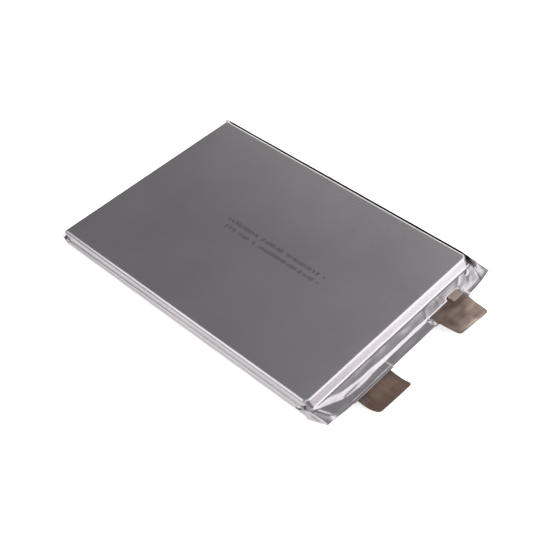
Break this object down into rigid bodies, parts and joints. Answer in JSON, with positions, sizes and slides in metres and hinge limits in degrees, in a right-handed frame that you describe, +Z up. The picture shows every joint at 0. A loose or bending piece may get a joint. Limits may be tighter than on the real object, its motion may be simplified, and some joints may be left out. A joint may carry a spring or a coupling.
{
  "type": "pouch battery cell",
  "caption": "Flat laminated-foil pouch cell with folded side seals, an end seal terrace and two flat bendable metal tabs on one end; electrode stack inside.",
  "frame": {"origin": "centre of the flat bottom face of the cell body, midway between its long sides", "axes": "+X along the cell towards the tabs, +Y across the cell towards the positive tab, +Z up through the thickness"},
  "size_m": [0.2168, 0.135, 0.01],
  "materials": {
    "pouch_laminate": "satin nylon-faced aluminium laminate, embossed smooth, bright on its folds",
    "negative_tab_metal": "nickel-plated copper strip, dull and darkened brown",
    "positive_strip_metal": "nickel strip, dull brown-grey with rolled bands",
    "aluminium_lead": "soft aluminium strip, satin",
    "copper_foil": "bare rolled copper foil, satin",
    "graphite_coating": "pressed graphite coating, matt black",
    "aluminium_foil": "bare rolled aluminium foil, satin",
    "oxide_coating": "pressed lithium metal oxide coating, matt charcoal",
    "separator_film": "microporous polymer film, matt white",
    "stack_tape": "thin blue polyester tape",
    "tab_film": "milky polypropylene sealant film",
    "weld_tape": "amber polyimide tape"
  },
  "bodies": {
    "cell": {"upper_pouch_half": "pouch_laminate", "lower_pouch_half": "pouch_laminate", "anode_copper_foils": "copper_foil", "anode_graphite_coatings": "graphite_coating", "cathode_aluminium_foils": "aluminium_foil", "cathode_oxide_coatings": "oxide_coating", "separator_web": "separator_film", "stack_tape_near_tab_end": "stack_tape", "stack_tape_near_fold_end": "stack_tape", "stack_tape_far_tab_end": "stack_tape", "stack_tape_far_fold_end": "stack_tape", "stack_tape_end_negative_side": "stack_tape", "stack_tape_end_positive_side": "stack_tape", "negative_tab_lead": "negative_tab_metal", "negative_tab_film_upper": "tab_film", "negative_tab_film_lower": "tab_film", "negative_weld_tape_upper": "weld_tape", "negative_weld_tape_lower": "weld_tape", "positive_tab_lead": "aluminium_lead", "positive_strip_root": "positive_strip_metal", "positive_tab_film_upper": "tab_film", "positive_tab_film_lower": "tab_film", "positive_weld_tape_upper": "weld_tape", "positive_weld_tape_lower": "weld_tape"},
    "negative_tab": {"negative_tab_blade": "negative_tab_metal"},
    "positive_tab": {"positive_strip_blade": "positive_strip_metal"}
  },
  "joints": [
    {"name": "negative_tab_bend", "type": "hinge", "parent": "cell", "child": "negative_tab", "pos_m": [0.10915, -0.0328, 0.005], "axis": [0, -1, 0], "range_deg": [-10, 90]},
    {"name": "positive_tab_bend", "type": "hinge", "parent": "cell", "child": "positive_tab", "pos_m": [0.10915, 0.0328, 0.00582], "axis": [0, -1, 0], "range_deg": [-10, 90]}
  ]
}
